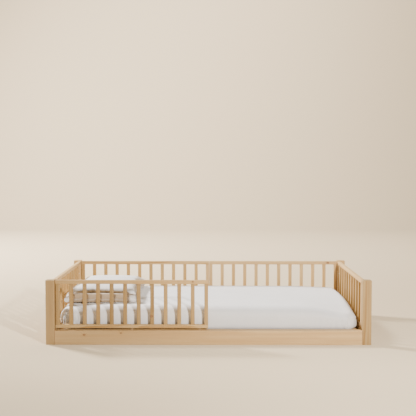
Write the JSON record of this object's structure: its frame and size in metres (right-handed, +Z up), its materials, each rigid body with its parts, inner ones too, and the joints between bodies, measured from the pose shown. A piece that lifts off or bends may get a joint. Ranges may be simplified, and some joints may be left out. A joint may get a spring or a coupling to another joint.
{
  "type": "toddler bed",
  "caption": "Low pine floor bed with square corner posts, slatted guard rails on all sides, an open half at the front, a slatted base, a mattress in a fitted sheet and pillows.",
  "frame": {"origin": "on the floor, under the middle of the bed", "axes": "+X along the bed from the pillow end to the foot end, +Y from the open front to the back, +Z up"},
  "size_m": [2.04, 1.04, 0.407],
  "materials": {
    "pine_posts": "satin",
    "pine_boards": "satin",
    "pine_guards": "satin",
    "raw_pine": "matte",
    "beech": "matte",
    "zinc_steel": "satin",
    "rubber": "matte",
    "ticking": "matte",
    "sheet_cotton": "matte",
    "pillow_cotton": "matte"
  },
  "bodies": {
    "frame": {"front_left_post": "pine_posts", "front_right_post": "pine_posts", "rear_left_post": "pine_posts", "rear_right_post": "pine_posts", "front_board": "pine_boards", "rear_board": "pine_boards", "head_board": "pine_boards", "foot_board": "pine_boards", "front_ledger": "raw_pine", "rear_ledger": "raw_pine", "base_slat_1": "raw_pine", "base_slat_2": "raw_pine", "base_slat_3": "raw_pine", "base_slat_4": "raw_pine", "base_slat_5": "raw_pine", "base_slat_6": "raw_pine", "base_slat_7": "raw_pine", "base_slat_8": "raw_pine", "base_slat_9": "raw_pine", "base_slat_10": "raw_pine", "base_slat_11": "raw_pine", "base_slat_12": "raw_pine", "base_slat_13": "raw_pine", "base_slat_14": "raw_pine", "front_guard_top_rail": "pine_guards", "front_guard_bottom_rail": "pine_guards", "front_guard_near_stile": "pine_guards", "front_guard_far_stile": "pine_guards", "front_guard_slats": "pine_guards", "rear_left_guard_top_rail": "pine_guards", "rear_left_guard_bottom_rail": "pine_guards", "rear_left_guard_near_stile": "pine_guards", "rear_left_guard_far_stile": "pine_guards", "rear_left_guard_slats": "pine_guards", "rear_right_guard_top_rail": "pine_guards", "rear_right_guard_bottom_rail": "pine_guards", "rear_right_guard_near_stile": "pine_guards", "rear_right_guard_far_stile": "pine_guards", "rear_right_guard_slats": "pine_guards", "head_guard_top_rail": "pine_guards", "head_guard_bottom_rail": "pine_guards", "head_guard_near_stile": "pine_guards", "head_guard_far_stile": "pine_guards", "head_guard_slats": "pine_guards", "foot_guard_top_rail": "pine_guards", "foot_guard_bottom_rail": "pine_guards", "foot_guard_near_stile": "pine_guards", "foot_guard_far_stile": "pine_guards", "foot_guard_slats": "pine_guards", "corner_bolts": "zinc_steel", "barrel_nuts": "zinc_steel", "ledger_screws": "zinc_steel", "base_slat_screws": "zinc_steel", "guard_screws": "zinc_steel", "corner_dowels": "beech", "guard_spacers": "rubber"},
    "mattress": {"mattress": "ticking", "fitted_sheet": "sheet_cotton"},
    "lower_pillow": {"lower_pillow": "pillow_cotton"},
    "upper_pillow": {"upper_pillow": "pillow_cotton"}
  },
  "joints": [
    {"name": "mattress_lift", "type": "slide", "parent": "frame", "child": "mattress", "axis": [0, 0, 1], "range_m": [0, 0.345]},
    {"name": "lower_pillow_lift", "type": "slide", "parent": "mattress", "child": "lower_pillow", "axis": [0, 0, 1], "range_m": [0, 0.2]},
    {"name": "upper_pillow_lift", "type": "slide", "parent": "lower_pillow", "child": "upper_pillow", "axis": [0, 0, 1], "range_m": [0, 0.2]}
  ]
}
